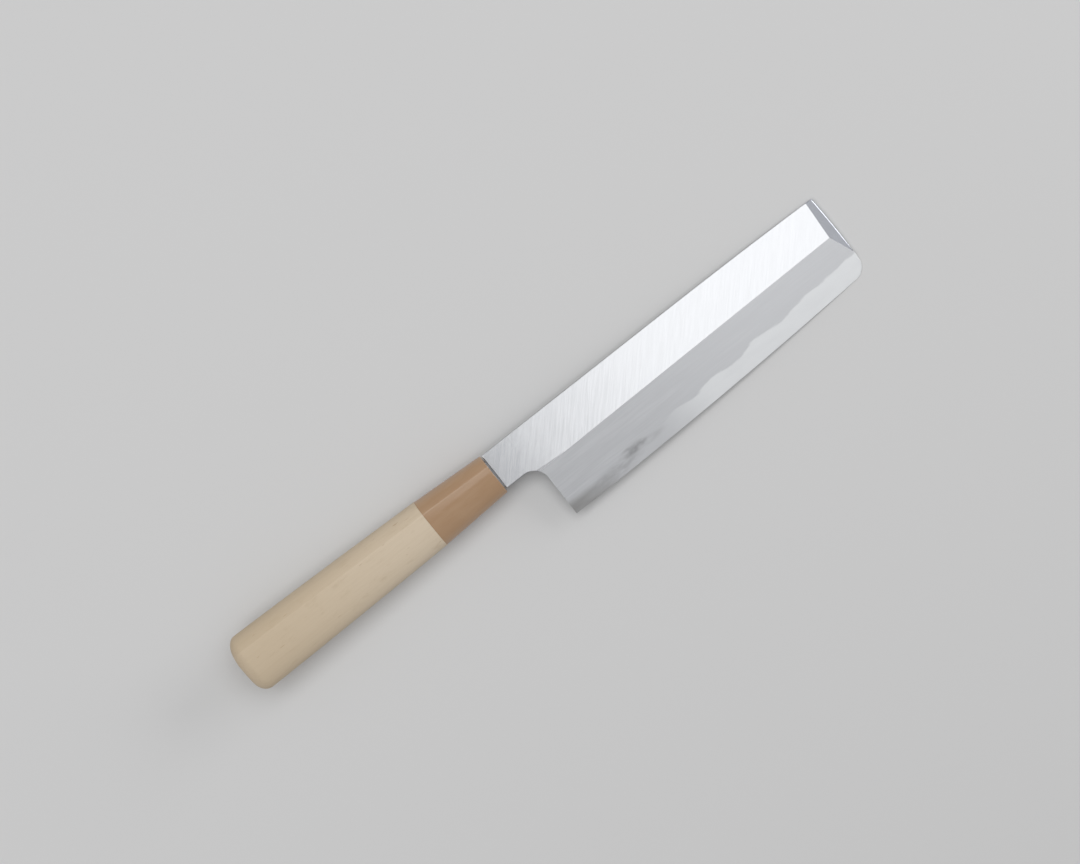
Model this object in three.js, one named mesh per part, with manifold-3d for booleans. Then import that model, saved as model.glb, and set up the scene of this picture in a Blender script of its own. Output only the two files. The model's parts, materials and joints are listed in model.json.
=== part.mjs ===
// A usuba: a single-bevel vegetable knife, with a blade of soft iron laminated to hard steel,
// a moulded ferrule and a wooden handle of chestnut section.
//
// Millimetres. The knife is modelled in its own axes: x runs from the blade's shoulder to its tip,
// y towards the spine, z out of the bevelled face, and the back of the blade lies in z = 0.
// At the end it is laid down as it rests on a table, with its back to the table.

import * as THREE from 'three';
import { mergeVertices } from 'three/addons/utils/BufferGeometryUtils.js';
import Module from 'manifold-3d';

// Outline of the blade
const bladeLength = 165; // shoulder to tip
const bladeHeight = 41; // spine to edge at the heel
const neckHeight = 16;
const neckLength = 15.4; // shoulder to the front of the heel
const choilRadius = 7.1; // inside corner between neck and heel
const spineDrop = 0.95; // how far the spine falls at the tip
const spineDropLength = 75; // the stretch in which it falls
const edgeRise = 4.4; // how far the edge curves up from heel to tip
const endBow = 0.6; // how far the square end bows out
const tipRadius = 5.8; // corner between edge and end

// Section of the blade
const neckThickness = 3.6;
const tipThickness = 2.6;
const edgeThickness = 0.15;
const spineEase = 0.4; // chamfer along both corners of the spine
const heelFlat = 19; // width of the flat face above the bevel, at the heel
const tipFlat = 17.4; // and at the tip
const facetAtSpine = 3.7; // length of the ground facet at the end, along the spine
const facetAtRidge = 4.7; // and along the bevel's ridge
const facetDrop = 0.95; // thickness that the facet takes off the end

// Hollow in the back of the blade
const hollowDepth = 0.4;
const hollowEdgeRim = 1.2; // flat land left along the edge
const hollowSpineRim = 2.4;
const hollowTipRim = 3.2;
const hollowHeelRim = 2.2;
const hollowFlatness = 6; // power with which the hollow runs out at its ends, the higher the later
const footRise = 0.03; // worn off the underside of the end, where the laid-down blade touches the table

// Hard steel layer
const steelAtHeel = 1;
const steelAtTip = 1.2;
const steelWave = 0.11; // how far the weld wanders up and down
const steelWaveX = 101; // middle of the stretch where it wanders
const steelWaveReach = 58; // from there to where it runs straight
const steelWaveLength = 23;
const steelWaveGrowth = 0.09; // how much longer the waves get per length towards the tip
const steelScarf = 5; // length of the tapered root of the steel, ahead of the heel
const weldGap = 0.02;

// Tang
const tangSpineStep = 3.2; // shoulder above the tang
const tangEdgeStep = 1.1; // shoulder below it
const tangFaceStep = 0.3; // shoulder on both faces
const tangEndHeight = 5.5;
const tangEndThickness = 2;
const tangTip = 2; // the square end of the tang, behind its taper

// Handle, from the ferrule's mouth over the joint with the wood to the butt
const shoulderGap = 0.6; // blade's shoulder to the ferrule's mouth
const handleLength = 124.5;
const ferruleLength = 31.5;
const mouthSpineLip = 0.4; // how far the mouth stands out past the neck
const mouthEdgeLip = 1.5;
const mouthWidth = 15;
const mouthRidge = 5.3; // from the spine side down to the ridge of the section
const jointHeight = 21.3;
const jointWidth = 18;
const jointRidge = 6.1;
const jointRise = -0.4; // centre of the section above the middle of the neck
const buttHeight = 25.2;
const buttWidth = 20.6;
const buttRidge = 6.7;
const buttRise = 0.25;
const gripSwell = 0.3; // how far the wood bulges past a straight taper
const buttRoundLength = 5; // rounding of the butt, along the handle
const buttRoundInset = 7; // and across it
const buttFaceDrop = 1.4; // the flat of the butt lies this far below the middle of the section
const ferruleWall = 1.6;
const mouthEase = 0.5; // chamfer round the ferrule's mouth
const sealDepth = 2; // resin in the mouth
const buttCover = 36; // wood left behind the end of the tang
const socketRoom = 4; // empty socket behind the tang
const fitGap = 0.15; // tenon in ferrule, tang in socket, seal in mouth

// Shape of the handle's section, as shares of its half height and half width
const spineCorner = 0.55; // fullness of the corner on the spine side
const shoulderRun = 0.3; // the face between that corner and the ridge
const shoulderLevel = 0.84;
const cheekRun = 0.6; // the face below the ridge
const cheekLevel = 0.96;
const edgeCorner = 0.68; // fullness of the corner on the edge side

// How far a cutting tool stands out past what it cuts
const outside = 5;

// Fineness of the facets
const bladeStations = 20;
const steelStations = 72;
const hollowStations = 28;
const hollowSteps = 12;
const endSteps = 8;
const curveSteps = 10;
const gripStations = 6;
const roundSteps = 7;

const wasm = await Module();
wasm.setup();

// Solids

function solidOf( geometry ) {

	const bare = geometry.clone();
	bare.deleteAttribute( 'normal' );
	bare.deleteAttribute( 'uv' );
	const merged = mergeVertices( bare );
	return new wasm.Manifold( new wasm.Mesh( {
		numProp: 3,
		vertProperties: new Float32Array( merged.attributes.position.array ),
		triVerts: new Uint32Array( merged.index.array )
	} ) );

}

function geometryOf( solid ) {

	const mesh = solid.getMesh();
	const geometry = new THREE.BufferGeometry();
	geometry.setAttribute( 'position', new THREE.BufferAttribute( mesh.vertProperties, 3 ) );
	geometry.setIndex( new THREE.BufferAttribute( mesh.triVerts, 1 ) );
	geometry.computeVertexNormals();
	return geometry;

}

// A closed skin over rings of points. Each ring lies in its own plane of constant x, x grows from
// ring to ring, and the points run counter-clockwise as seen from the tip of the knife.
function loft( rings ) {

	const count = rings[ 0 ].length;
	const last = ( rings.length - 1 ) * count;
	const index = [];
	for ( let start = 0; start < last; start += count ) {

		for ( let i = 0; i < count; i ++ ) {

			const a = start + i;
			const b = start + ( i + 1 ) % count;
			index.push( a, b, b + count, a, b + count, a + count );

		}

	}

	const flat = ( ring ) => ring.map( ( p ) => new THREE.Vector2( p.y, p.z ) );
	for ( const [ a, b, c ] of THREE.ShapeUtils.triangulateShape( flat( rings[ 0 ] ), [] ) ) {

		index.push( a, c, b );

	}

	for ( const [ a, b, c ] of THREE.ShapeUtils.triangulateShape( flat( rings.at( - 1 ) ), [] ) ) {

		index.push( last + a, last + b, last + c );

	}

	const geometry = new THREE.BufferGeometry().setFromPoints( rings.flat() );
	geometry.setIndex( index );
	return solidOf( geometry );

}

const ringAt = ( x, points ) => points.map( ( [ y, z ] ) => new THREE.Vector3( x, y, z ) );
const boxRing = ( x, low, high, under, over ) => ringAt( x, [
	[ high, under ], [ high, over ], [ low, over ], [ low, under ]
] );
const spread = ( from, to, steps ) => Array.from(
	{ length: steps + 1 }, ( _, i ) => THREE.MathUtils.lerp( from, to, i / steps ) );

// Lines of the blade

const neckTop = neckHeight / 2;
const edgeAtHeel = neckTop - bladeHeight;
const pastHeel = ( x ) => Math.max( 0, ( x - neckLength ) / ( bladeLength - neckLength ) );
const thicknessAt = ( x ) => THREE.MathUtils.lerp( neckThickness, tipThickness, x / bladeLength );
const edgeAt = ( x ) => edgeAtHeel + edgeRise * pastHeel( x ) ** 2;
const ridgeAt = ( x ) => neckTop - THREE.MathUtils.lerp( heelFlat, tipFlat, pastHeel( x ) );

function spineAt( x ) {

	const fall = Math.max( 0, ( x - bladeLength + spineDropLength ) / spineDropLength );
	return neckTop - spineDrop * fall ** 2;

}

function endAt( y ) {

	const share = ( y - edgeAt( bladeLength ) ) / ( spineAt( bladeLength ) - edgeAt( bladeLength ) );
	return bladeLength - endBow * ( 2 * share - 1 ) ** 2;

}

// Blade blank: the section that runs along the blade, cut to the outline seen on its face

function bladeSection( x ) {

	const thickness = thicknessAt( x );
	const spine = spineAt( x );
	const slope = ( thickness - edgeThickness ) / ( ridgeAt( x ) - edgeAt( x ) );
	const past = edgeThickness / ( 2 * slope );
	return ringAt( x, [
		[ spine - spineEase, 0 ],
		[ spine, spineEase ],
		[ spine, thickness - spineEase ],
		[ spine - spineEase, thickness ],
		[ ridgeAt( x ), thickness ],
		[ edgeAt( x ) - past, edgeThickness / 2 ],
		[ edgeAt( x ) - past, 0 ]
	] );

}

function bladeOutline() {

	const underNeck = - neckTop;
	const arcRatio = 0.5523; // a Bezier curve with this handle follows a quarter circle
	const roundStart = new THREE.Vector2( bladeLength - tipRadius, edgeAt( bladeLength - tipRadius ) );
	const corner = new THREE.Vector2( bladeLength - endBow, edgeAt( bladeLength ) );
	const roundEnd = new THREE.Vector2( endAt( corner.y + tipRadius ), corner.y + tipRadius );
	const intoRound = roundStart.clone().lerp( corner, arcRatio );
	const outOfRound = roundEnd.clone().lerp( corner, arcRatio );

	const outline = new THREE.Shape();
	outline.moveTo( - outside, underNeck );
	outline.lineTo( neckLength - choilRadius, underNeck );
	outline.absarc( neckLength - choilRadius, underNeck - choilRadius, choilRadius, Math.PI / 2, 0, true );
	outline.lineTo( neckLength, edgeAtHeel );
	spread( neckLength, roundStart.x, bladeStations ).forEach( ( x ) => outline.lineTo( x, edgeAt( x ) ) );
	outline.bezierCurveTo( intoRound.x, intoRound.y, outOfRound.x, outOfRound.y, roundEnd.x, roundEnd.y );
	spread( roundEnd.y, spineAt( bladeLength ), endSteps ).forEach( ( y ) => outline.lineTo( endAt( y ), y ) );
	outline.lineTo( endAt( neckTop + outside ), neckTop + outside );
	outline.lineTo( - outside, neckTop + outside );
	return outline;

}

// The ground facet that takes the corner off the square end
function facetTool() {

	const top = thicknessAt( bladeLength );
	const spine = spineAt( bladeLength );
	const onSpine = new THREE.Vector3( bladeLength - facetAtSpine, spine, top );
	const onRidge = new THREE.Vector3( bladeLength - facetAtRidge, ridgeAt( bladeLength ), top );
	const onEnd = new THREE.Vector3( bladeLength, spine, top - facetDrop );
	const plane = new THREE.Plane().setFromCoplanarPoints( onSpine, onRidge, onEnd );
	const size = 3 * bladeHeight; // enough to reach past the blade whichever way the block is turned
	const turn = new THREE.Quaternion().setFromUnitVectors( new THREE.Vector3( 0, 0, 1 ), plane.normal );
	const middle = onSpine.addScaledVector( plane.normal, size / 2 );
	const block = new THREE.BoxGeometry( size, size, size ).applyQuaternion( turn );
	return solidOf( block.translate( middle.x, middle.y, middle.z ) );

}

// A shallow scoop along the back, deepest in the middle and running out at both ends
function hollowTool() {

	const start = neckLength + hollowHeelRim;
	const end = bladeLength - endBow - hollowTipRim;
	const under = - hollowDepth / 8; // the scoop's sides begin just under the back
	const rings = spread( start, end, hollowStations ).map( ( x ) => {

		const along = 2 * ( x - start ) / ( end - start ) - 1;
		const depth = hollowDepth * ( 1 - along ** hollowFlatness );
		const low = edgeAt( x ) + hollowEdgeRim;
		const high = spineAt( x ) - hollowSpineRim;
		const arch = spread( 1, - 1, hollowSteps ).map( ( t ) => [
			THREE.MathUtils.lerp( low, high, ( t + 1 ) / 2 ),
			under + depth * ( 1 - t ** 2 )
		] );
		return ringAt( x, [ [ high, - outside ], ...arch, [ low, - outside ] ] );

	} );
	return loft( rings );

}

// Everything up to the wandering weld between steel and iron
function steelTool( gap ) {

	const root = neckLength - steelScarf;
	const rings = spread( root, bladeLength + outside, steelStations ).map( ( x ) => {

		const grown = Math.min( 1, ( x - root ) / steelScarf );
		const layer = THREE.MathUtils.lerp( steelAtHeel, steelAtTip, pastHeel( x ) );
		const along = x - steelWaveX;
		const fade = Math.max( 0, 1 - ( along / steelWaveReach ) ** 2 );
		const turn = 2 * Math.PI * along / ( steelWaveLength + steelWaveGrowth * along );
		const wander = - steelWave * fade * Math.cos( turn );
		const top = grown * ( layer + wander ) - ( 1 - grown ) * edgeThickness + gap;
		return boxRing( x, - 2 * bladeHeight, bladeHeight, - outside, top );

	} );
	return loft( rings );

}

// Handle section, an oval with a ridge on the bevelled side

const axisHeight = neckThickness / 2;
const mouthX = - shoulderGap;
const jointX = mouthX - ferruleLength;
const buttX = mouthX - handleLength;
const mouth = {
	height: neckHeight + mouthSpineLip + mouthEdgeLip,
	width: mouthWidth,
	ridge: mouthRidge,
	rise: ( mouthSpineLip - mouthEdgeLip ) / 2
};
const joint = { height: jointHeight, width: jointWidth, ridge: jointRidge, rise: jointRise };
const butt = { height: buttHeight, width: buttWidth, ridge: buttRidge, rise: buttRise };

function sizeAt( x ) {

	const ahead = x > jointX;
	const [ from, to ] = ahead ? [ joint, mouth ] : [ butt, joint ];
	const share = ahead ? ( x - jointX ) / ferruleLength : ( x - buttX ) / ( jointX - buttX );
	const swell = ahead ? 0 : 4 * gripSwell * share * ( 1 - share );
	const between = ( key ) => THREE.MathUtils.lerp( from[ key ], to[ key ], share );
	return {
		height: between( 'height' ) + swell,
		width: between( 'width' ) + swell,
		ridge: between( 'ridge' ),
		rise: between( 'rise' )
	};

}

function sectionRing( x, inset, drop = 0 ) {

	const size = sizeAt( x );
	const half = size.height / 2 - inset;
	const side = size.width / 2 - inset * size.width / size.height;
	const ridge = half * ( 1 - 2 * size.ridge / size.height );
	const section = new THREE.Shape();
	section.moveTo( half, 0 );
	section.bezierCurveTo(
		half, spineCorner * side,
		ridge + shoulderRun * half, shoulderLevel * side,
		ridge, side
	);
	section.bezierCurveTo(
		ridge - cheekRun * half, cheekLevel * side,
		- half, edgeCorner * side,
		- half, 0
	);
	section.absellipse( 0, 0, half, side, Math.PI, 2 * Math.PI );
	const points = section.getPoints( curveSteps ).slice( 0, - 1 );
	return ringAt( x, points.map( ( p ) => [ p.x + size.rise - drop, p.y + axisHeight ] ) );

}

const buttRings = spread( 0, Math.PI / 2, roundSteps ).map( ( angle ) => sectionRing(
	buttX + buttRoundLength * ( 1 - Math.cos( angle ) ),
	buttRoundInset * ( 1 - Math.sin( angle ) ),
	buttFaceDrop * ( 1 - Math.sin( angle ) )
) );
const shaftRings = spread( buttX + buttRoundLength, jointX, gripStations ).slice( 1 )
	.map( ( x ) => sectionRing( x, 0 ) );
const gripRings = [ ...buttRings, ...shaftRings ];

// The table: at rest it touches the handle's belly and the blade's end, so the knife lies nose down

const slopeToEnd = ( p ) => Math.atan2( footRise - p.z, bladeLength - p.x );
const restAngle = Math.max( ...gripRings.flat().map( slopeToEnd ) );

function tableTool() {

	const size = 2 * ( bladeLength + handleLength );
	const block = new THREE.BoxGeometry( size, size, outside ).translate( 0, 0, - outside / 2 );
	return solidOf( block.rotateY( - restAngle ).translate( bladeLength, 0, footRise ) );

}

// Tang, and the same shape with room round it

const tangTop = neckTop - tangSpineStep;
const tangLow = tangEdgeStep - neckTop;
const tangEndX = buttX + buttCover;

function tangSolid( room, front, back ) {

	const endRise = sizeAt( tangEndX ).rise;
	const rings = [ back, tangEndX, 0, front ].map( ( x ) => {

		const share = THREE.MathUtils.clamp( x / tangEndX, 0, 1 );
		const thickness = THREE.MathUtils.lerp( neckThickness - 2 * tangFaceStep, tangEndThickness, share );
		const low = THREE.MathUtils.lerp( tangLow, endRise - tangEndHeight / 2, share ) - room;
		const high = THREE.MathUtils.lerp( tangTop, endRise + tangEndHeight / 2, share ) + room;
		const reach = thickness / 2 + room;
		return boxRing( x, low, high, axisHeight - reach, axisHeight + reach );

	} );
	return loft( rings );

}

const socket = tangSolid( fitGap, shoulderGap, tangEndX - tangTip - socketRoom );

// The blade's two layers

const outlineTool = solidOf( new THREE.ExtrudeGeometry( bladeOutline(), {
	depth: neckThickness + 2 * outside,
	bevelEnabled: false,
	curveSegments: curveSteps
} ).translate( 0, 0, - outside ) );
const blank = loft( spread( 0, bladeLength + outside, bladeStations ).map( bladeSection ) );
const shaped = blank.intersect( outlineTool );
const ground = shaped.subtract( facetTool() ).subtract( hollowTool() ).subtract( tableTool() );

const tang = tangSolid( 0, neckLength / 2, tangEndX - tangTip );
const cladding = ground.subtract( steelTool( weldGap ) ).add( tang );
const steel = ground.intersect( steelTool( 0 ) );

// Ferrule: a tapered collar, open right through

const collar = loft( [
	sectionRing( jointX + fitGap, 0 ),
	sectionRing( mouthX - mouthEase, 0 ),
	sectionRing( mouthX, mouthEase )
] );
const boreStations = [ jointX - outside, jointX, mouthX + outside ];
const bore = loft( boreStations.map( ( x ) => sectionRing( x, ferruleWall ) ) );
const ferrule = collar.subtract( bore );

// Grip: the wood that is held, its tenon inside the ferrule, and the socket for the tang

const inFerrule = ( x ) => sectionRing( x, ferruleWall + fitGap );
const tenonEnd = mouthX - sealDepth;
const tenon = loft( [ jointX - ferruleWall, jointX, tenonEnd ].map( inFerrule ) );
const grip = loft( gripRings ).add( tenon ).subtract( socket );

// Resin that closes the mouth round the tang

const seal = loft( [ tenonEnd + fitGap, mouthX ].map( inFerrule ) ).subtract( socket );

// Materials

const iron = new THREE.MeshStandardMaterial( { color: '#c8cbcf', roughness: 0.35, metalness: 1 } );
const hardSteel = new THREE.MeshStandardMaterial( { color: '#d5d7d9', roughness: 0.2, metalness: 1 } );
const tanPlastic = new THREE.MeshStandardMaterial( { color: '#a5886a', roughness: 0.25, metalness: 0 } );
const magnolia = new THREE.MeshStandardMaterial( { color: '#c3b297', roughness: 0.7, metalness: 0 } );
const resin = new THREE.MeshStandardMaterial( { color: '#3b2b1e', roughness: 0.4, metalness: 0 } );

// Assembly

const laid = new THREE.Group();
for ( const [ name, solid, material ] of [
	[ 'blade_cladding', cladding, iron ],
	[ 'edge_steel', steel, hardSteel ],
	[ 'ferrule', ferrule, tanPlastic ],
	[ 'handle_grip', grip, magnolia ],
	[ 'mouth_seal', seal, resin ]
] ) {

	const mesh = new THREE.Mesh( geometryOf( solid ), material );
	mesh.name = name;
	laid.add( mesh );

}

laid.rotation.y = restAngle;
laid.updateMatrixWorld( true );
const reach = new THREE.Box3().setFromObject( laid, true );
const middle = reach.getCenter( new THREE.Vector3() );
laid.position.set( - middle.x, - middle.y, - reach.min.z );

const usuba = new THREE.Group();
usuba.add( laid );

export default usuba;
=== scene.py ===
import json
from math import atan2, ceil, cos, pi, radians, sin

import bmesh
import bpy
from mathutils import Matrix, Vector


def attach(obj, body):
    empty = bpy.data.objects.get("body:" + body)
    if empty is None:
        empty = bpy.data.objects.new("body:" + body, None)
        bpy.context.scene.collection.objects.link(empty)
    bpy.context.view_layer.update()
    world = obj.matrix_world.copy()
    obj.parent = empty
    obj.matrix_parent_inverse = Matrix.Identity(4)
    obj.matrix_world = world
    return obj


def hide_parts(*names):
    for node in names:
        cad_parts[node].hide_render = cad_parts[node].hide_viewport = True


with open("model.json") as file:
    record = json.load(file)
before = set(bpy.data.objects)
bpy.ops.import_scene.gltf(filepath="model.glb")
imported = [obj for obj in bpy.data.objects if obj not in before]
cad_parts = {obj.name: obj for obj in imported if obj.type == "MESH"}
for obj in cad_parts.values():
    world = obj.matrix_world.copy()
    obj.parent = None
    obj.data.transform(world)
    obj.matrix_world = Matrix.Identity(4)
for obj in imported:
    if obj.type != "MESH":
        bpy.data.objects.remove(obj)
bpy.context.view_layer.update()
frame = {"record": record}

# How the knife lies
# Every piece is shaped in the knife's own axes: x from the blade's shoulder to its tip, y towards the
# spine, z out of the bevelled face. It is then laid down as it rests, on its back and a little nose down.
mm = 0.001
mounts = {mount["name"]: mount for mount in frame["record"]["mounts"]}
back_rim = mounts["back_rim"]
rim_spot = Vector((90, 6.6, 0)) * mm  # where that mount sits on the knife
nose_down = atan2(-back_rim["axis"][0], -back_rim["axis"][2])
turned = Matrix.Rotation(nose_down, 4, "Y")
laid = Matrix.Translation(Vector(back_rim["pos_m"]) - turned @ rim_spot) @ turned

# Blade blank
# A bar of soft iron with a layer of hard steel forge-welded under it, hammered out and cut to outline.
# The flat, the bevel and the small facet at the end are ground, and the corners are eased on a stone.
blade_length = 165 * mm
blade_height = 41 * mm
neck_height = 16 * mm
neck_length = 15.4 * mm
choil_radius = 7.1 * mm
tip_radius = 5.8 * mm
spine_drop = 0.95 * mm
spine_drop_length = 75 * mm
edge_rise = 4.4 * mm
end_bow = 0.6 * mm
neck_thickness = 3.6 * mm
tip_thickness = 2.6 * mm
edge_thickness = 0.15 * mm
heel_flat = 19 * mm
tip_flat = 17.4 * mm
facet_at_spine = 3.7 * mm
facet_at_ridge = 4.7 * mm
facet_drop = 0.95 * mm
hollow_depth = 0.4 * mm
hollow_edge_rim = 1.2 * mm
hollow_spine_rim = 2.4 * mm
hollow_tip_rim = 3.2 * mm
hollow_heel_rim = 2.2 * mm
hollow_dip = hollow_depth / 8  # the scoop's sides begin this far under the back
hollow_flatness = 6  # the higher, the longer the hollow keeps its depth
spine_ease = 0.25 * mm
shoulder_ease = 0.25 * mm
end_ease = 0.55 * mm
outline_ease = 0.15 * mm
ease_share = 0.4  # an eased corner takes no more than this share of the thickness there
outline_step = 3 * mm
outline_corner_steps = 24
ease_steps = 3
bevel_stations = 50
hollow_stations = 60
hollow_steps = 24
least_crease = radians(2)
past = 5 * mm  # how far a cutting tool stands out past what it cuts
same_spot = 0.0001 * mm  # points closer than this are one point

spine_top = neck_height / 2
edge_at_heel = spine_top - blade_height


def between(low, high, share):
    return low + (high - low) * share


def steps(low, high, count):
    """count + 1 values from low to high."""
    return [between(low, high, i / count) for i in range(count + 1)]


def past_heel(x):
    """How much of the way from the heel to the tip lies behind x."""
    return max(0.0, (x - neck_length) / (blade_length - neck_length))


def spine_at(x):
    fall = max(0.0, 1 - (blade_length - x) / spine_drop_length)
    return spine_top - spine_drop * fall ** 2


def edge_at(x):
    return edge_at_heel + edge_rise * past_heel(x) ** 2


def ridge_at(x):
    return spine_top - between(heel_flat, tip_flat, past_heel(x))


def thickness_at(x):
    return between(neck_thickness, tip_thickness, x / blade_length)


def bevel_at(x, y):
    return between(edge_thickness, thickness_at(x), (y - edge_at(x)) / (ridge_at(x) - edge_at(x)))


facet_line = [
    Vector((blade_length - facet_at_spine, spine_at(blade_length), 0)),
    Vector((blade_length - facet_at_ridge, ridge_at(blade_length), 0)),
]
facet_out = Vector((0, 0, 1)).cross(facet_line[1] - facet_line[0]).normalized()
facet_slope = facet_drop / (facet_out.x * facet_at_spine)


def facet_at(x, y):
    past_line = (Vector((x, y, 0)) - facet_line[0]).dot(facet_out)
    return thickness_at(blade_length) - facet_slope * past_line


def facet_foot():
    """Where the facet runs out, low on the blade's end."""
    high, low = ridge_at(blade_length), edge_at(blade_length)
    over = [bevel_at(blade_length, y) - facet_at(blade_length, y) for y in (high, low)]
    return Vector((blade_length, between(high, low, over[0] / (over[0] - over[1])), 0))


def front_at(x, y):
    """Height of the ground face over the back: the lowest of the flat, the bevel and the end's facet."""
    return min(thickness_at(x), bevel_at(x, y), facet_at(x, y))


def score(shape, faces, start, end):
    """Cuts faces along the upright plane through two points, and returns what they became."""
    edges = {edge for face in faces for edge in face.edges}
    corners = {vert for face in faces for vert in face.verts}
    cut = bmesh.ops.bisect_plane(
        shape, geom=[*corners, *edges, *faces], dist=same_spot,
        plane_co=start, plane_no=(end - start).cross(Vector((0, 0, 1))).normalized(),
    )
    return [part for part in cut["geom"] if isinstance(part, bmesh.types.BMFace)]


def shown(name, shape):
    """An object of a shape, which is used up."""
    mesh = bpy.data.meshes.new(name)
    shape.to_mesh(mesh)
    shape.free()
    piece = bpy.data.objects.new(name, mesh)
    bpy.context.scene.collection.objects.link(piece)
    return piece


def worked(shape, kind, settings):
    """What one modifier makes of a shape, which is used up."""
    work = shown("work", shape)
    modifier = work.modifiers.new("work", kind)
    for name, value in settings.items():
        setattr(modifier, name, value)
    solved = work.evaluated_get(bpy.context.evaluated_depsgraph_get())
    result = bmesh.new()
    result.from_mesh(solved.to_mesh())
    solved.to_mesh_clear()
    bpy.data.objects.remove(work)
    return result


def tooled(shape, tool_shape, operation):
    """A shape after a tool has been added to it, taken off it or kept in common with it."""
    tool = shown("tool", tool_shape)
    result = worked(shape, "BOOLEAN", {"operation": operation, "object": tool, "solver": "MANIFOLD"})
    bpy.data.objects.remove(tool)
    return result


def loft(loops, ring=False):
    """A closed skin over loops of points. A ring's last loop joins its first. Otherwise both are capped."""
    shape = bmesh.new()
    rows = []
    for loop in loops:
        corners = [shape.verts.new(point) for point in loop]
        rows.append([shape.edges.new((corners[i - 1], corners[i])) for i in range(len(corners))])
    pairs = list(zip(rows, rows[1:]))
    if ring:
        pairs.append((rows[-1], rows[0]))
    for one, other in pairs:
        bmesh.ops.bridge_loops(shape, edges=one + other)
    if not ring:
        bmesh.ops.holes_fill(shape, edges=rows[0] + rows[-1])
    bmesh.ops.recalc_face_normals(shape, faces=shape.faces)
    return shape


def box_loop(x, low, high, under, over):
    return [Vector((x, y, z)) for y, z in ((high, under), (high, over), (low, over), (low, under))]


def outline_sheet():
    """The blade's outline as one flat face: straight sides, two round corners, then bent to its curves."""
    sheet = bmesh.new()
    choil = Vector((neck_length, -spine_top, 0))
    tip = Vector((blade_length, edge_at_heel, 0))
    sheet.faces.new([sheet.verts.new(spot) for spot in (
        (0, -spine_top, 0), choil, (neck_length, edge_at_heel, 0), tip,
        (blade_length, spine_top, 0), (0, spine_top, 0),
    )])
    for spot, radius in ((choil, choil_radius), (tip, tip_radius)):
        corner = min(sheet.verts, key=lambda vert: (vert.co - spot).length)
        bmesh.ops.bevel(
            sheet, geom=[corner], affect="VERTICES", offset=radius, offset_type="OFFSET",
            segments=outline_corner_steps, profile=0.5, material=-1,
        )
    for edge in [edge for edge in sheet.edges if edge.calc_length() > outline_step]:
        bmesh.ops.subdivide_edges(sheet, edges=[edge], cuts=ceil(edge.calc_length() / outline_step))
    for vert in sheet.verts:
        x, y = vert.co.xy
        up = (y - edge_at_heel) / blade_height
        vert.co.y = y + between(edge_at(x) - edge_at_heel, spine_at(x) - spine_top, up)
        to_end = max(0.0, 1 - (blade_length - x) / tip_radius)
        vert.co.x = x - to_end * end_bow * (2 * up - 1) ** 2
    return sheet


def corner_ease(x, y):
    """How wide the corner of the outline is eased at a spot on it."""
    widest = outline_ease
    if x < outline_ease:
        widest = shoulder_ease
    elif y > spine_at(x) - outline_ease:
        widest = spine_ease
    elif x > blade_length - 2 * end_bow and y > facet_foot().y:
        widest = end_ease
    return min(widest, ease_share * front_at(x, y))


def above_ridge(face):
    middle = face.calc_center_median()
    return middle.y > ridge_at(middle.x)


def ground_blank():
    """The blade in one, with its front ground, before the corners are eased."""
    shape = outline_sheet()
    back = list(shape.faces)
    grown = bmesh.ops.extrude_face_region(shape, geom=back)["geom"]
    front = [part for part in grown if isinstance(part, bmesh.types.BMFace)]
    lifted = [part for part in grown if isinstance(part, bmesh.types.BMVert)]
    bmesh.ops.translate(shape, verts=lifted, vec=(0, 0, neck_thickness))
    front = score(shape, front, *[Vector((x, ridge_at(x), 0)) for x in (neck_length, blade_length)])
    flat = score(shape, [face for face in front if above_ridge(face)], *facet_line)
    bevel = score(shape, [face for face in front if not above_ridge(face)], facet_line[1], facet_foot())
    for x in steps(neck_length, blade_length, bevel_stations)[1:-1]:
        bevel = score(shape, bevel, Vector((x, 0, 0)), Vector((x, 1, 0)))
    front = flat + bevel
    for vert in {vert for face in front for vert in face.verts}:
        vert.co.z = front_at(*vert.co.xy)
    bmesh.ops.recalc_face_normals(shape, faces=shape.faces)

    ground = {*front, *back}
    width = shape.edges.layers.float.new("bevel_weight_edge")
    for edge in shape.edges:
        on_face = [face in ground for face in edge.link_faces]
        if all(on_face):
            edge.smooth = edge.calc_face_angle() < least_crease
        elif any(on_face):
            middle = (edge.verts[0].co + edge.verts[1].co) / 2
            edge[width] = corner_ease(*middle.xy) / end_ease
    return shape


def hollow_tool():
    """The scoop that a wheel takes out of the back, deep along the middle and running out at its ends."""
    start = neck_length + hollow_heel_rim
    end = blade_length - end_bow - hollow_tip_rim
    loops = []
    for x in steps(start, end, hollow_stations):
        low = edge_at(x) + hollow_edge_rim
        high = spine_at(x) - hollow_spine_rim
        along = 2 * (x - start) / (end - start) - 1
        depth = hollow_depth * (1 - along ** hollow_flatness)
        arch = []
        for share in steps(0, 1, hollow_steps):
            rise = depth * (1 - (2 * share - 1) ** 2)
            arch.append(Vector((x, between(high, low, share), rise - hollow_dip)))
        loops.append([Vector((x, high, -past)), *arch, Vector((x, low, -past))])
    return loft(loops)


eased = worked(ground_blank(), "BEVEL", {
    "limit_method": "WEIGHT", "width": end_ease, "segments": ease_steps, "profile": 0.5,
    "use_clamp_overlap": False,
})
hollowed = tooled(eased, hollow_tool(), "DIFFERENCE")

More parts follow.
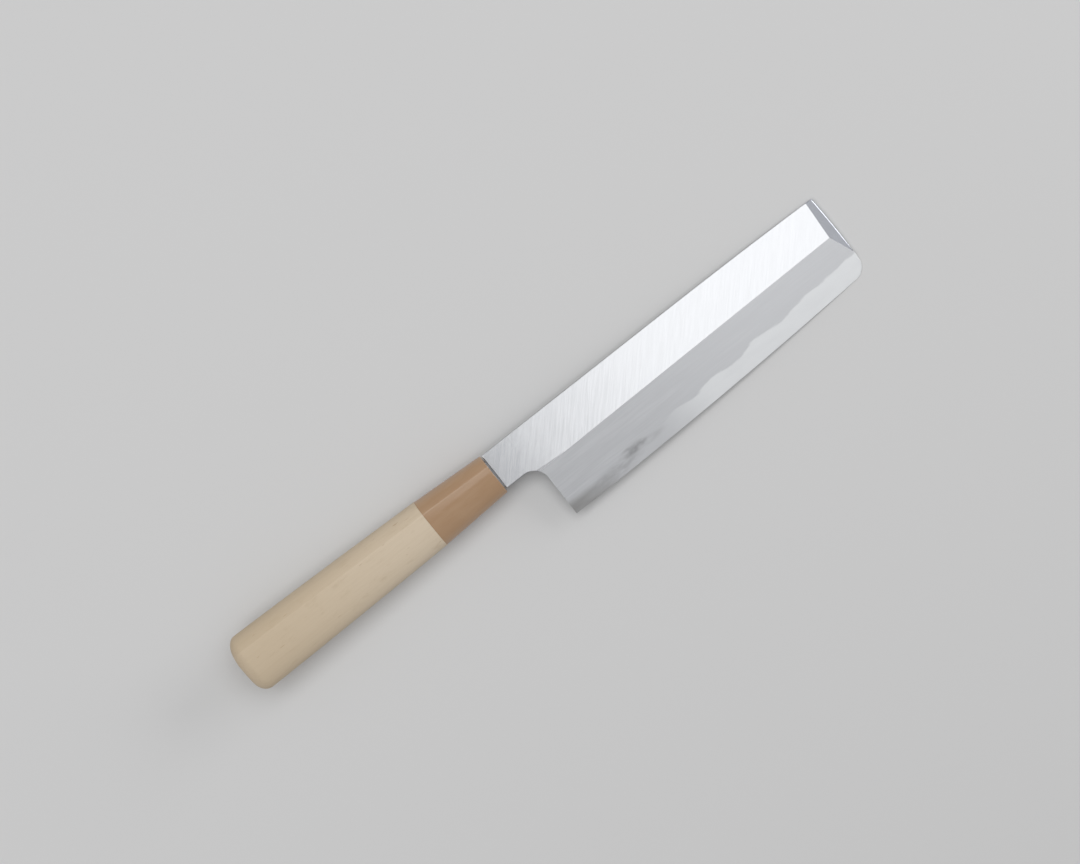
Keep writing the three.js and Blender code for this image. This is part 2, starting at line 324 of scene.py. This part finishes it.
# Edge steel
# The hard layer under the iron. It makes the cutting edge and the whole back, and comes out on the bevel
# below the wandering line of the weld. It is sharpened on stones to a finer satin than the iron.
steel_at_heel = 1.0 * mm
steel_at_tip = 1.2 * mm
steel_wave = 0.11 * mm
steel_wave_x = 101 * mm
steel_wave_reach = 58 * mm
steel_wave_length = 23 * mm
steel_wave_growth = 0.09  # how much longer the waves get per length towards the tip
steel_scarf = 5 * mm
weld_stations = 240
touch = 0.001 * mm
blade_crease = radians(40)

iron_colour = (0.63, 0.64, 0.66)
iron_bright = (0.66, 0.67, 0.69)
iron_dull = (0.55, 0.56, 0.58)
iron_dark = (0.30, 0.30, 0.31)
# The iron's tones with painted shade, for the darker reflection on the neck
neck_painted_shade_bright = (0.585, 0.595, 0.615)
neck_painted_shade_dull = (0.47, 0.48, 0.50)
facet_colour = (0.57, 0.59, 0.64)
steel_colour = (0.80, 0.815, 0.83)
steel_dull = (0.59, 0.60, 0.62)
stain_colour = (0.30, 0.295, 0.29)


def weld_at(x):
    """Height of the weld over the back."""
    root = neck_length - steel_scarf
    grown = min(1.0, (x - root) / steel_scarf)
    along = x - steel_wave_x
    fade = max(0.0, 1 - (along / steel_wave_reach) ** 2)
    turn = 2 * pi * along / (steel_wave_length + steel_wave_growth * along)
    layer = between(steel_at_heel, steel_at_tip, past_heel(x)) - steel_wave * fade * cos(turn)
    return between(-edge_thickness, layer, grown)


def weld_tool():
    """Everything on the steel's side of the weld."""
    stations = steps(neck_length - steel_scarf, blade_length + past, weld_stations)
    return loft([box_loop(x, -2 * blade_height, blade_height, -past, weld_at(x)) for x in stations])


def narrow(face):
    """Whether a face is a strip of an eased corner."""
    return face.calc_area() < end_ease * face.calc_perimeter() / 2


def creased(shape):
    """Keeps the weld's line, the hollow's rim and the borders of the eased corners crisp."""
    for edge in shape.edges:
        heights = [(vert.co.z, weld_at(vert.co.x)) for vert in edge.verts]
        ground = all(abs(z) < touch or abs(z - weld) < touch for z, weld in heights)
        border = len({narrow(face) for face in edge.link_faces}) == 2
        if border or ground and edge.calc_face_angle(0) > least_crease:
            edge.smooth = False
    return shape


def dressed(name, shape, sharpest):
    """The finished piece: smooth but for its creases, and laid down with the knife."""
    bmesh.ops.remove_doubles(shape, verts=shape.verts, dist=same_spot)
    for face in shape.faces:
        face.smooth = True
    for edge in shape.edges:
        if edge.is_manifold and edge.calc_face_angle() > sharpest:
            edge.smooth = False
    shape.transform(laid)
    piece = shown(name, shape)
    evened = piece.modifiers.new("even normals", "WEIGHTED_NORMAL")
    evened.keep_sharp = True
    return piece


class Finish:
    """One socket of a finish's node tree. Arithmetic on it adds Math nodes to the tree."""

    def __init__(self, tree, socket=None):
        self.tree = tree
        self.socket = socket

    def node(self, kind, settings, sockets, out=0):
        """Adds any node: its settings first, then the values or links of its sockets."""
        made = self.tree.nodes.new("ShaderNode" + kind)
        for name, value in settings.items():
            setattr(made, name, value)
        for name, value in sockets.items():
            if isinstance(value, Finish):
                self.tree.links.new(value.socket, made.inputs[name])
            else:
                made.inputs[name].default_value = value
        return Finish(self.tree, made.outputs[out]) if made.outputs else None

    def math(self, operation, one, other=0.0):
        return self.node("Math", {"operation": operation}, {0: one, 1: other})

    def __add__(self, other):
        return self.math("ADD", self, other)

    def __radd__(self, other):
        return self.math("ADD", other, self)

    def __sub__(self, other):
        return self.math("SUBTRACT", self, other)

    def __rsub__(self, other):
        return self.math("SUBTRACT", other, self)

    def __mul__(self, other):
        return self.math("MULTIPLY", self, other)

    def __rmul__(self, other):
        return self.math("MULTIPLY", other, self)

    def __truediv__(self, other):
        return self.math("DIVIDE", self, other)

    def __pow__(self, other):
        return self.math("POWER", self, other)


def new_finish(piece, name):
    """An empty finish on a piece, and the knife's own axes as coordinates for its patterns."""
    material = bpy.data.materials.new(name)
    material.use_nodes = True
    material.node_tree.nodes.clear()
    piece.data.materials.clear()
    piece.data.materials.append(material)
    start = Finish(material.node_tree)
    spot = start.node("TexCoord", {}, {}, out=3)
    on_knife = {"Vector": spot, "Location": laid.translation, "Rotation": (0, nose_down, 0)}
    return start.node("Mapping", {"vector_type": "TEXTURE"}, on_knife)


def parts(spot):
    """The x, y and z of a place."""
    return [spot.node("SeparateXYZ", {}, {"Vector": spot}, out=i) for i in range(3)]


def grain(spot, size, slant=0.0, detail=3.0, shift=0.0, roughness=0.6):
    """Noise from 0 to 1 whose flecks have a size along, across and through the slanted direction."""
    placed = {"Vector": spot, "Rotation": (0, 0, slant), "Scale": size, "Location": (shift, shift, shift)}
    place = spot.node("Mapping", {"vector_type": "TEXTURE"}, placed)
    noise = {"Vector": place, "Scale": 1.0, "Detail": detail, "Roughness": roughness}
    return spot.node("TexNoise", {}, noise)


def ramp(value, low, high):
    """0 below low, 1 above high and smooth between them."""
    sockets = {"Value": value, 1: low, 2: high}
    return value.node("MapRange", {"interpolation_type": "SMOOTHSTEP"}, sockets)


def blend(share, one, other):
    """One colour turning into another."""
    first, second = [(*tone, 1) if isinstance(tone, tuple) else tone for tone in (one, other)]
    return share.node("Mix", {"data_type": "RGBA"}, {0: share, 6: first, 7: second}, out=2)


def left_of(spot, start, end):
    """How far a place lies to the left of a line from start to end, seen from above."""
    x, y, _ = parts(spot)
    along = (end - start).normalized()
    return (y - start.y) * along.x - (x - start.x) * along.y


def blob(spot, middle, reach):
    """1 at the middle, falling to 0 on the ellipse that reaches so far along and across the blade."""
    x, y, _ = parts(spot)
    along = (x - middle[0]) / reach[0]
    across = (y - middle[1]) / reach[1]
    return ramp(1 - (along * along + across * across), 0.0, 1.0)


def surface(colour, settings, height=None, distance=0.0):
    """Ends a finish with its shader, and with a bump of some height over a distance."""
    sockets = {"Base Color": colour, **settings}
    if height is not None:
        bump = {"Height": height, "Strength": 1.0, "Distance": distance}
        sockets["Normal"] = height.node("Bump", {}, bump)
    shader = colour.node("BsdfPrincipled", {}, sockets)
    colour.node("OutputMaterial", {}, {"Surface": shader})


soft_line = 0.05 * mm  # half the width of the border between two ground faces
# The flat's roll-off below this line is not shaped; it is shown only by painted shade
roll_line = [Vector((14.1, -9.8, 0)) * mm, Vector((27.9, -10.9, 0)) * mm]  # the flat rolls off below it
above_hollow = (0.75 * hollow_depth, hollow_depth)  # heights over which the back gives way to the front


def ground_faces(spot):
    """How much of a place belongs to the flat, the end's facet, the corner rolled off by the choil and the
    tang.
    The rolled corner is not shaped: it gets painted shade. What is left over is the bevel and the back."""
    x, _, z = parts(spot)
    ridge = [Vector((end, ridge_at(end), 0)) for end in (neck_length, blade_length)]
    above = ramp(left_of(spot, *ridge), -soft_line, soft_line)
    past_line = ramp(left_of(spot, *facet_line), -soft_line, soft_line)
    past_foot = ramp(left_of(spot, facet_line[1], facet_foot()), -soft_line, soft_line)
    on_front = ramp(z, *above_hollow)
    flat = above * on_front
    facet = (above * past_line + (1 - above) * past_foot) * on_front
    rolled_painted_shade = flat * (1 - ramp(left_of(spot, *roll_line), -2 * soft_line, 2 * soft_line))
    tang = 1 - ramp(x, -2 * soft_line, 0.0)
    return flat, facet, rolled_painted_shade, tang


def over_weld(spot):
    """How high a place lies over the weld."""
    x, _, z = parts(spot)
    along = x - steel_wave_x
    fade = spot.math("MAXIMUM", 1 - (along / steel_wave_reach) ** 2, 0.0)
    turn = along * (2 * pi) / (along * steel_wave_growth + steel_wave_length)
    share = spot.math("MAXIMUM", (x - neck_length) / (blade_length - neck_length), 0.0)
    layer = share * (steel_at_tip - steel_at_heel) + steel_at_heel
    return z - layer + fade * spot.math("COSINE", turn) * steel_wave


soft_patches = (0.3, 0.7)  # a wider span of the noise makes a softer pattern
clear_marks = (0.35, 0.65)
mist_patch = (30 * mm, 4 * mm, 30 * mm)
mist_share = 0.5
stone_share = 0.6
iron_brightens = (40 * mm, 120 * mm)  # places along the blade
iron_bright_share = 0.6
steel_brightens = (58 * mm, 90 * mm)
steel_dull_share = 0.9
cloud_patch = (16 * mm, 4 * mm, 16 * mm)
cloud_span = (0.35, 0.75)
cloud_share = 0.1
weld_tooth = (6 * mm, 2 * mm, 6 * mm)
weld_stray = 0.25 * mm
weld_blur = (-0.04 * mm, 0.08 * mm)  # heights over the weld between which steel turns into iron
bevel_side = (0.2 * edge_thickness, 0.6 * edge_thickness)  # heights over half way from back to bevel
heel_stain = ((12 * mm, -32.5 * mm), (30 * mm, 6.6 * mm))  # its middle and reach, as for the smudge
stain_least = 0.4
stain_cloud = 0.8
smudge = ((48.7 * mm, -26.7 * mm), (8 * mm, 2.4 * mm))
smudge_share = 0.7
heel_tail = ((38 * mm, -29.6 * mm), (16 * mm, 3.4 * mm))
heel_tail_share = 0.45
tip_tail = ((56 * mm, -27.6 * mm), (10 * mm, 2 * mm))
tip_tail_share = 0.27
smear_patch = (5 * mm, 1.6 * mm, 5 * mm)
smear_span = (0.2, 0.7)


def bevel_colour(spot, stone):
    """Misty iron over brighter steel, with the weld's soft line between them. The heel is stained, and
    a dark smudge with two tails lies a little way past it."""
    x, y, z = parts(spot)
    mist = ramp(grain(spot, mist_patch, detail=4.0), *soft_patches)
    iron = blend(mist * mist_share, iron_colour, iron_dull)
    iron = blend(ramp(stone, *clear_marks) * stone_share, iron, iron_dull)
    iron = blend(ramp(x, *iron_brightens) * iron_bright_share, iron, iron_bright)
    cloud = grain(spot, cloud_patch, detail=2.0)
    dull = (1 - ramp(x, *steel_brightens)) * steel_dull_share + ramp(cloud, *cloud_span) * cloud_share
    steel = blend(dull, steel_colour, steel_dull)
    strayed = (grain(spot, weld_tooth) - 0.5) * weld_stray
    colour = blend(ramp(over_weld(spot) + strayed, *weld_blur), steel, iron)

    half_slope = neck_thickness / 2 / (ridge_at(neck_length) - edge_at_heel)
    on_bevel = ramp(z - (y - edge_at_heel) * half_slope, *bevel_side)
    stained = blob(spot, *heel_stain) * (stain_least + stain_cloud * cloud)
    colour = blend(on_bevel * stained, colour, stain_colour)
    smudged = blob(spot, *smudge) * smudge_share
    smudged = smudged + blob(spot, *heel_tail) * heel_tail_share
    smudged = smudged + blob(spot, *tip_tail) * tip_tail_share
    smeared = smudged * ramp(grain(spot, smear_patch), *smear_span)
    return blend(on_bevel * smeared, colour, iron_dark)


wheel_slant = radians(47)
wheel_mark = (14 * mm, 0.45 * mm, 14 * mm)
wheel_share = 0.5
wheel_sweep = (14 * mm, 2.5 * mm, 14 * mm)
sweep_share = 0.1
marks_fade = (30 * mm, 80 * mm)
marks_lost = 0.7
# Where the painted shade on the neck fades out, and how strong it is
neck_painted_shade_fade = (4 * mm, 26 * mm)
neck_painted_shade_share = 0.9


def flat_colour(spot, wheel):
    """Iron with slanted wheel marks, polished fainter towards the tip, with painted shade that darkens the
    neck as its dimmer reflection would.
    """
    x = parts(spot)[0]
    sweep = grain(spot, wheel_sweep, slant=wheel_slant)
    marked = ramp(wheel, *clear_marks) * wheel_share + ramp(sweep, *soft_patches) * sweep_share
    marked = marked * (1 - marks_lost * ramp(x, *marks_fade))
    # Painted shade: the flat darkens towards the neck
    neck_painted_shade = (1 - ramp(x, *neck_painted_shade_fade)) * neck_painted_shade_share
    return blend(neck_painted_shade, blend(marked, iron_bright, iron_dull), blend(marked, neck_painted_shade_bright, neck_painted_shade_dull))


stone_mark = (16 * mm, 0.5 * mm, 16 * mm)
stone_depth = 0.3  # share of the depth of a wheel mark
mark_depth = 0.006 * mm
mark_roughness = 0.04
bevel_roughness = 0.40
flat_polish = 0.18
facet_polish = 0.14
tang_roughness = 0.2
# How strong the painted shade on the rolled corner is
rolled_painted_shade_share = 0.5


def ground_finish(piece, name):
    """The finish of the whole blade. It is ground after welding, so both layers share it."""
    spot = new_finish(piece, name)
    flat, facet, rolled_painted_shade, tang = ground_faces(spot)
    wheel = grain(spot, wheel_mark, slant=wheel_slant)
    stone = grain(spot, stone_mark)
    colour = blend(flat, bevel_colour(spot, stone), flat_colour(spot, wheel))
    colour = blend(facet, colour, facet_colour)
    # Painted shade on the corner rolled off by the choil
    colour = blend(rolled_painted_shade * rolled_painted_shade_share, colour, iron_dark)
    # The tang in the shoulder gap is darker: partly its own unground scale, partly painted shade of the gap
    colour = blend(tang, colour, iron_dark)
    wheeled = flat * (1 - facet)
    marks = wheel * wheeled + stone * (1 - flat) * stone_depth
    polish = wheeled * flat_polish + facet * facet_polish
    roughness = bevel_roughness - polish + marks * mark_roughness + tang * tang_roughness
    surface(colour, {"Metallic": 1.0, "Roughness": roughness}, marks, mark_depth)


steel_shape = creased(tooled(hollowed.copy(), weld_tool(), "INTERSECT"))
edge_steel = dressed("edge_steel_ground", steel_shape, blade_crease)
ground_finish(edge_steel, "stone finished steel")
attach(edge_steel, "root")
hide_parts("edge_steel")

# Blade cladding
# The soft iron that carries the steel: the flat, the upper part of the bevel, the spine, the neck and
# the tang that is burnt into the handle. The flat shows slanted wheel marks, the bevel a fine mist.
tang_spine_step = 3.2 * mm
tang_edge_step = 1.1 * mm
tang_face_step = 0.3 * mm
tang_end_height = 5.5 * mm
tang_end_thickness = 2 * mm
tang_tip = 2 * mm
shoulder_gap = 0.6 * mm
handle_length = 124.5 * mm
ferrule_length = 31.5 * mm
butt_cover = 36 * mm
butt_rise = 0.25 * mm
joint_rise = -0.4 * mm

axis_height = neck_thickness / 2
mouth_x = -shoulder_gap
joint_x = mouth_x - ferrule_length
butt_x = mouth_x - handle_length
tang_end_x = butt_x + butt_cover


def tang_loops(room, stations):
    """The tang's square section at each station, with some room round it."""
    loops = []
    for x in stations:
        share = min(1.0, max(0.0, x / tang_end_x))
        end_rise = between(butt_rise, joint_rise, butt_cover / (joint_x - butt_x))
        thickness = between(neck_thickness - 2 * tang_face_step, tang_end_thickness, share)
        low = between(tang_edge_step - spine_top, end_rise - tang_end_height / 2, share) - room
        high = between(spine_top - tang_spine_step, end_rise + tang_end_height / 2, share) + room
        reach = thickness / 2 + room
        loops.append(box_loop(x, low, high, axis_height - reach, axis_height + reach))
    return loops


iron_shape = creased(tooled(hollowed, weld_tool(), "DIFFERENCE"))
tang_shape = loft(tang_loops(0, [tang_end_x - tang_tip, tang_end_x, 0, neck_length / 2]))
cladding = dressed("cladding_ground", tooled(iron_shape, tang_shape, "UNION"), blade_crease)
ground_finish(cladding, "ground iron")
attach(cladding, "root")
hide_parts("blade_cladding")

# Handle grip
# One piece of pale magnolia wood, turned to a chestnut section with a ridge for the fingers of the
# right hand. A tenon goes into the ferrule, a socket takes the tang, and the butt is rounded by hand.
mouth_spine_lip = 0.4 * mm
mouth_edge_lip = 1.5 * mm
mouth = {
    "height": neck_height + mouth_spine_lip + mouth_edge_lip,
    "width": 15 * mm,
    "ridge": 5.3 * mm,
    "rise": (mouth_spine_lip - mouth_edge_lip) / 2,
}
joint = {"height": 21.3 * mm, "width": 18 * mm, "ridge": 6.1 * mm, "rise": joint_rise}
butt = {"height": 25.2 * mm, "width": 20.6 * mm, "ridge": 6.7 * mm, "rise": butt_rise}
grip_swell = 0.3 * mm
butt_round_length = 5 * mm
butt_round_inset = 7 * mm
butt_face_drop = 1.4 * mm
ridge_round = 0.5 * mm
ferrule_wall = 1.6 * mm
seal_depth = 2 * mm
socket_room = 4 * mm
fit_gap = 0.15 * mm
spine_corner = 0.55
shoulder_run = 0.3
shoulder_level = 0.84
cheek_run = 0.6
cheek_level = 0.96
edge_corner = 0.68
shoulder_steps = 18
cheek_steps = 22
ridge_steps = 6
belly_steps = 36
butt_stations = 14
grip_stations = 30
handle_crease = radians(35)

wood_pale = (0.62, 0.52, 0.395)
# The wood with painted shade, for the butt end
wood_butt_shade = (0.555, 0.45, 0.32)
wood_dark = (0.47, 0.365, 0.24)
wood_fleck = (0.36, 0.23, 0.12)


def handle_size(x):
    """Sizes of the handle's section at x."""
    if x > joint_x:
        start, end, share, swell = joint, mouth, (x - joint_x) / ferrule_length, 0.0
    else:
        start, end, share = butt, joint, (x - butt_x) / (joint_x - butt_x)
        swell = 4 * grip_swell * share * (1 - share)
    size = {key: between(start[key], end[key], share) for key in start}
    size["height"] += swell
    size["width"] += swell
    return size


def bezier(knots, shares):
    """Points on a curve from the first knot to the last, drawn towards the two between them."""
    a, b, c, d = knots
    return [
        a * (1 - t) ** 3 + b * 3 * t * (1 - t) ** 2 + c * 3 * t ** 2 * (1 - t) + d * t ** 3 for t in shares
    ]


def handle_loop(x, inset=0.0, drop=0.0, rounding=ridge_round):
    """The chestnut section at x: an oval with a ridge that is rounded off a little."""
    size = handle_size(x)
    half = size["height"] / 2 - inset
    side = size["width"] / 2 - inset * size["width"] / size["height"]
    ridge = half * (1 - 2 * size["ridge"] / size["height"])
    crest = Vector((ridge, side))
    upper = [Vector((half, 0)), Vector((half, spine_corner * side)),
             Vector((ridge + shoulder_run * half, shoulder_level * side)), crest]
    lower = [crest, Vector((ridge - cheek_run * half, cheek_level * side)),
             Vector((-half, edge_corner * side)), Vector((-half, 0))]
    upper_stop = 1 - rounding / (3 * (upper[3] - upper[2]).length)
    lower_start = rounding / (3 * (lower[1] - lower[0]).length)
    above = bezier(upper, steps(0, upper_stop, shoulder_steps))
    below = bezier(lower, steps(lower_start, 1, cheek_steps))
    rounded = bezier([above[-1], crest, crest, below[0]], steps(0, 1, ridge_steps)[1:-1])
    turns = steps(pi, 2 * pi, belly_steps)[1:-1]
    under = [Vector((half * cos(angle), side * sin(angle))) for angle in turns]
    return [
        Vector((x, spot.x + size["rise"] - drop, spot.y + axis_height))
        for spot in above + rounded + below + under
    ]


tenon_end = mouth_x - seal_depth
tenon_inset = ferrule_wall + fit_gap
grip_loops = [
    handle_loop(
        butt_x + butt_round_length * (1 - cos(angle)),
        butt_round_inset * (1 - sin(angle)),
        butt_face_drop * (1 - sin(angle)),
    )
    for angle in steps(0, pi / 2, butt_stations)
]
grip_loops += [handle_loop(x) for x in steps(butt_x + butt_round_length, joint_x, grip_stations)[1:]]
grip_loops += [handle_loop(x, tenon_inset) for x in (joint_x, tenon_end)]
socket = loft(tang_loops(fit_gap, [tang_end_x - tang_tip - socket_room, tang_end_x, 0]))
grip = dressed("grip_wood", tooled(loft(grip_loops), socket, "DIFFERENCE"), handle_crease)

# Width over which the painted shade above the ridge fades in, and its strength
upper_facet_shade_blur = 0.25 * mm
ridge_line = []
for end, size in ((butt_x, butt), (joint_x, joint)):
    ridge_line.append(Vector((end, size["rise"] + size["height"] / 2 - size["ridge"], 0)))
upper_facet_shade_share = 0.25
growth_line = (120 * mm, 1.0 * mm, 1.0 * mm)
growth_span = (0.35, 0.75)
growth_share = 0.15
pore = (6 * mm, 0.35 * mm, 0.35 * mm)
pore_span = (0.5, 0.8)
pore_share = 0.2
pore_depth = 0.01 * mm
grip_stain = (8 * mm, 3 * mm, 3 * mm)
grip_stain_span = (0.55, 0.75)
grip_stain_share = 0.4
dash = (5 * mm, 0.6 * mm, 0.6 * mm)
dash_span = (0.74, 0.8)
dash_share = 0.6
wood_roughness = 0.62
pore_roughness = 0.1
spot = new_finish(grip, "sanded magnolia")
growth = grain(spot, growth_line, detail=4.0)
pores = grain(spot, pore, detail=2.0)
stains = grain(spot, grip_stain, shift=4.0)
dashes = grain(spot, dash, detail=1.0, shift=9.0)
# Painted shade: the wood darkens towards the butt
colour = blend(ramp(parts(spot)[0], butt_x, joint_x), wood_butt_shade, wood_pale)
# Painted shade: the facet above the ridge is darkened as if less light fell on it
upper_facet_painted_shade = ramp(left_of(spot, *ridge_line), 0.0, upper_facet_shade_blur)
colour = blend(upper_facet_painted_shade * upper_facet_shade_share, colour, wood_dark)
colour = blend(ramp(growth, *growth_span) * growth_share, colour, wood_dark)
colour = blend(ramp(pores, *pore_span) * pore_share, colour, wood_dark)
colour = blend(ramp(stains, *grip_stain_span) * grip_stain_share, colour, wood_dark)
colour = blend(ramp(dashes, *dash_span) * dash_share, colour, wood_fleck)
surface(colour, {"Roughness": wood_roughness + pore_roughness * pores}, pores, pore_depth)
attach(grip, "root")
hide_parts("handle_grip")

# Ferrule
# A collar of tan plastic that imitates horn, moulded with the handle's section and polished. It is
# pushed over the wood's tenon, flush with the wood, and its mouth is rounded over.
mouth_ease = 0.5 * mm
joint_ease = 0.08 * mm
joint_gap = 0.02 * mm
ferrule_ridge_round = 0.9 * mm
ferrule_stations = 10
mouth_steps = 6

horn_colour = (0.375, 0.235, 0.135)
horn_pale = (0.43, 0.29, 0.18)


def collar_loop(x, inset=0.0):
    return handle_loop(x, inset, rounding=ferrule_ridge_round)


ferrule_back = joint_x + joint_gap
side_stations = steps(ferrule_back + joint_ease, mouth_x - mouth_ease, ferrule_stations)
ferrule_loops = [collar_loop(ferrule_back, joint_ease)]
ferrule_loops += [collar_loop(x) for x in side_stations]
ferrule_loops += [
    collar_loop(mouth_x - mouth_ease * (1 - sin(angle)), mouth_ease * (1 - cos(angle)))
    for angle in steps(0, pi / 2, mouth_steps)[1:]
]
ferrule_loops += [collar_loop(x, ferrule_wall) for x in (mouth_x, ferrule_back)]
ferrule = dressed("ferrule_collar", loft(ferrule_loops, ring=True), handle_crease)

swirl_fleck = (14 * mm, 3 * mm, 3 * mm)
swirl_span = (0.3, 0.8)
swirl_share = 0.5
horn_roughness = 0.1
swirl_roughness = 0.04
horn_ior = 1.58
spot = new_finish(ferrule, "polished tan plastic")
swirl = grain(spot, swirl_fleck)
colour = blend(ramp(swirl, *swirl_span) * swirl_share, horn_colour, horn_pale)
surface(colour, {"Roughness": horn_roughness + swirl_roughness * swirl, "IOR": horn_ior})
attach(ferrule, "root")
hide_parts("ferrule")

# Mouth seal
# Dark resin run into the ferrule's mouth round the tang, which keeps water out of the handle.
# It has set a little below the collar's rim.
seal_dip = 0.15 * mm
resin_speck = (1 * mm, 1 * mm, 1 * mm)
resin_roughness = 0.4
resin_colour = (0.035, 0.022, 0.014)
resin_pale = (0.07, 0.045, 0.03)

plug = loft([handle_loop(x, tenon_inset) for x in (tenon_end + fit_gap, mouth_x - seal_dip)])
tang_way = loft(tang_loops(fit_gap, [tang_end_x, 0]))
seal = dressed("mouth_resin", tooled(plug, tang_way, "DIFFERENCE"), handle_crease)
spot = new_finish(seal, "set resin")
colour = blend(grain(spot, resin_speck), resin_colour, resin_pale)
surface(colour, {"Roughness": resin_roughness})
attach(seal, "root")
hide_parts("mouth_seal")

# Floor
# A plain pale sheet that the knife lies on.
floor_reach = 2.0
floor_patch = (300 * mm, 300 * mm, 300 * mm)
floor_patch_share = 0.1
floor_roughness = 0.9
floor_colour = (0.62, 0.62, 0.62)
floor_dull = (0.56, 0.56, 0.56)

floor_shape = bmesh.new()
bmesh.ops.create_grid(floor_shape, x_segments=1, y_segments=1, size=floor_reach)
floor = shown("floor", floor_shape)
spot = new_finish(floor, "pale sheet")
mottle = grain(spot, floor_patch, detail=2.0) * floor_patch_share
surface(blend(mottle, floor_colour, floor_dull), {"Roughness": floor_roughness})

# Light
# Level soft boxes overhead, and one standing beyond the blade's end, in a light grey room. Seen from the
# camera, the flat mirrors the tip light and the neck mirrors the gap behind it.
lamp_height = 1.3
down = Vector((0, 0, -1))
to_butt = Vector((-1, 0, 0))
room_colour = (0.36, 0.36, 0.362, 1)


def softbox(name, middle, facing, size, radiance):
    """A soft box of some size along x and y, or upright and along y, facing a direction."""
    lamp = bpy.data.objects.new(name, bpy.data.lights.new(name, "AREA"))
    lamp.data.shape = "RECTANGLE"
    lamp.data.size, lamp.data.size_y = size
    lamp.data.energy = radiance * pi * size[0] * size[1]
    back = -facing
    side = Vector((0, 1, 0)).cross(back)
    lamp.matrix_world = Matrix((side, back.cross(side), back)).transposed().to_4x4()
    lamp.location = middle
    bpy.context.scene.collection.objects.link(lamp)


softbox("tip light", (0.525, -0.06, lamp_height), down, (0.95, 0.64), radiance=1.17)
softbox("butt light", (-0.9, -0.06, lamp_height), down, (1.0, 0.64), radiance=2.7)
softbox("spine light", (0.0, 0.63, lamp_height), down, (1.7, 0.66), radiance=1.95)
softbox("end light", (1.3, 0.0, 0.52), to_butt, (0.54, 1.0), radiance=3.8)
world = bpy.data.worlds.new("studio")
bpy.context.scene.world = world
world.use_nodes = True
world.node_tree.nodes["Background"].inputs["Color"].default_value = room_colour

# Camera
# Almost straight above the knife, which lies aslant in the picture.
camera = bpy.data.objects.new("camera", bpy.data.cameras.new("camera"))
camera.data.lens = 80.08
camera.data.sensor_width = 36
camera.location = (0.0338, 0.0198, 0.95)
camera.rotation_euler = (radians(-1.53), radians(1.10), radians(-38.30))
bpy.context.scene.collection.objects.link(camera)
bpy.context.scene.camera = camera
bpy.context.scene.view_settings.view_transform = "Standard"
